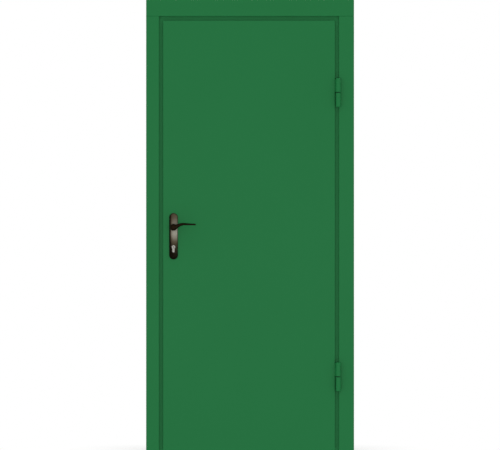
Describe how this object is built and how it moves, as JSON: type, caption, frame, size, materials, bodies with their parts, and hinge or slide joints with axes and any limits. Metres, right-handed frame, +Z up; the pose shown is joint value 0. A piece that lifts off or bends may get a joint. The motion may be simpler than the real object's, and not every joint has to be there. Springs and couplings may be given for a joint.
{
  "type": "steel entrance door",
  "caption": "Painted sheet-steel entrance door: smooth leaf with a lapping rim, tube frame with flat casings, barrel hinges, lever handle on a long backplate and key cylinder.",
  "frame": {"origin": "on the floor, under the threshold, in the middle of the doorway's width and of the frame's depth", "axes": "+X to the hinge side, -Y to the outside, where the hinges are, +Z up"},
  "size_m": [0.967, 0.179, 2.104],
  "materials": {
    "green_paint": "satin emerald green powder coat",
    "seal_rubber": "black half-round strip",
    "zinc_steel": "zinc-plated steel",
    "pin_steel": "turned steel, dark with grease and green paint dust",
    "aged_bronze": "antique bronze, rubbed bright in the middle",
    "dark_bronze": "dark oiled bronze",
    "nickel": "satin nickel"
  },
  "bodies": {
    "frame": {"head_casing": "green_paint", "lock_casing": "green_paint", "hinge_casing": "green_paint", "head_tube": "green_paint", "lock_jamb": "green_paint", "hinge_jamb": "green_paint", "threshold": "green_paint", "seal_head": "seal_rubber", "seal_lock_side": "seal_rubber", "seal_hinge_side": "seal_rubber", "seal_threshold": "seal_rubber", "strike_plate": "zinc_steel", "upper_frame_knuckle": "green_paint", "lower_frame_knuckle": "green_paint", "upper_pin": "pin_steel", "lower_pin": "pin_steel", "upper_bearing": "pin_steel", "lower_bearing": "pin_steel"},
    "leaf": {"outer_skin": "green_paint", "inner_skin": "green_paint", "lock_forend": "zinc_steel", "lock_case": "zinc_steel", "latch_bolt": "zinc_steel", "dead_bolt": "zinc_steel", "outer_backplate": "aged_bronze", "inner_backplate": "aged_bronze", "key_cylinder": "nickel", "outer_plug": "nickel", "inner_plug": "nickel", "upper_leaf_knuckle": "green_paint", "lower_leaf_knuckle": "green_paint"},
    "handle": {"outer_lever": "dark_bronze", "inner_lever": "dark_bronze", "spindle": "zinc_steel"}
  },
  "joints": [
    {"name": "leaf_swing", "type": "hinge", "parent": "frame", "child": "leaf", "pos_m": [0.4145, -0.0555, 1.008], "axis": [0, 0, 1], "range_deg": [0, 170]},
    {"name": "lever_turn", "type": "hinge", "parent": "leaf", "child": "handle", "pos_m": [-0.351, -0.014, 1.044], "axis": [0, 1, 0], "range_deg": [0, 42], "stiffness_Nm_per_rad": 1.2, "springref_deg": -45.84}
  ]
}
